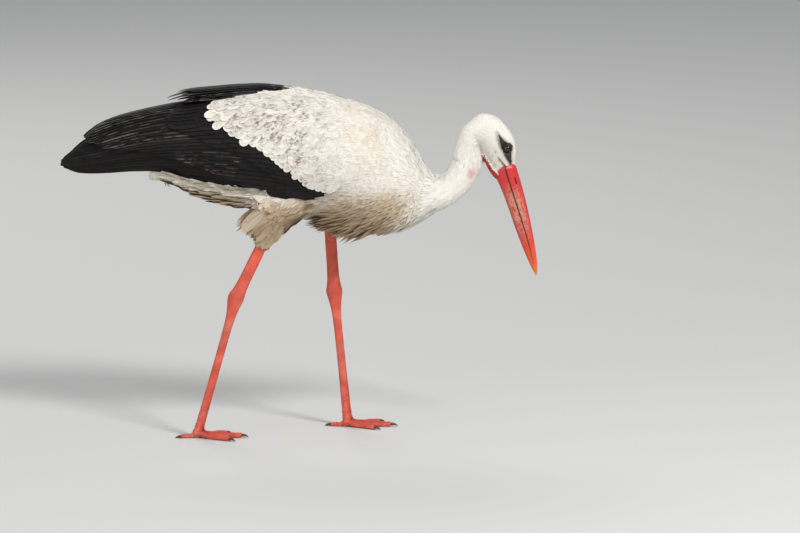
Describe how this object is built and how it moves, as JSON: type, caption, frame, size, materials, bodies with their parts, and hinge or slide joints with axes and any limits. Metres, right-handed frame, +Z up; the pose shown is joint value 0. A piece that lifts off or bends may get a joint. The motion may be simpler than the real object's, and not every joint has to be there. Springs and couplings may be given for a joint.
{
  "type": "white stork",
  "caption": "Life-size still model of a white stork in mid stride, with its neck lowered and its bill pointing down and forward.",
  "frame": {"origin": "on the floor, under the middle of the whole bird's box", "axes": "+X forwards along the body, +Y to the bird's left, +Z up"},
  "size_m": [0.7402, 0.194, 0.5495],
  "materials": {
    "white_feathers": "matt off-white plumage",
    "black_feathers": "black flight feathers with a faint sheen",
    "upper_bill": "smooth red horn, orange at the tip",
    "lower_bill": "smooth red horn, orange at the tip",
    "eye": "wet dark brown eye",
    "leg_skin": "coral red scaly skin",
    "claw": "dark brown horn"
  },
  "bodies": {
    "root": {"ankle_left": "leg_skin", "ankle_right": "leg_skin", "claw_hind_left": "claw", "claw_hind_right": "claw", "claw_inner_left": "claw", "claw_inner_right": "claw", "claw_middle_left": "claw", "claw_middle_right": "claw", "claw_outer_left": "claw", "claw_outer_right": "claw", "coverts_left": "white_feathers", "coverts_right": "white_feathers", "eye_left": "eye", "eye_right": "eye", "foot_left": "leg_skin", "foot_right": "leg_skin", "head": "white_feathers", "lower_bill": "lower_bill", "mantle_left": "white_feathers", "mantle_right": "white_feathers", "neck_lower": "white_feathers", "neck_middle": "white_feathers", "neck_upper": "white_feathers", "primaries_left": "black_feathers", "primaries_right": "black_feathers", "rump": "white_feathers", "secondaries_left": "black_feathers", "secondaries_right": "black_feathers", "shank_left": "leg_skin", "shank_right": "leg_skin", "tail": "white_feathers", "tarsus_left": "leg_skin", "tarsus_right": "leg_skin", "tertials_left": "black_feathers", "tertials_right": "black_feathers", "thigh_left": "white_feathers", "thigh_right": "white_feathers", "trunk": "white_feathers", "upper_bill": "upper_bill"}
  },
  "joints": []
}
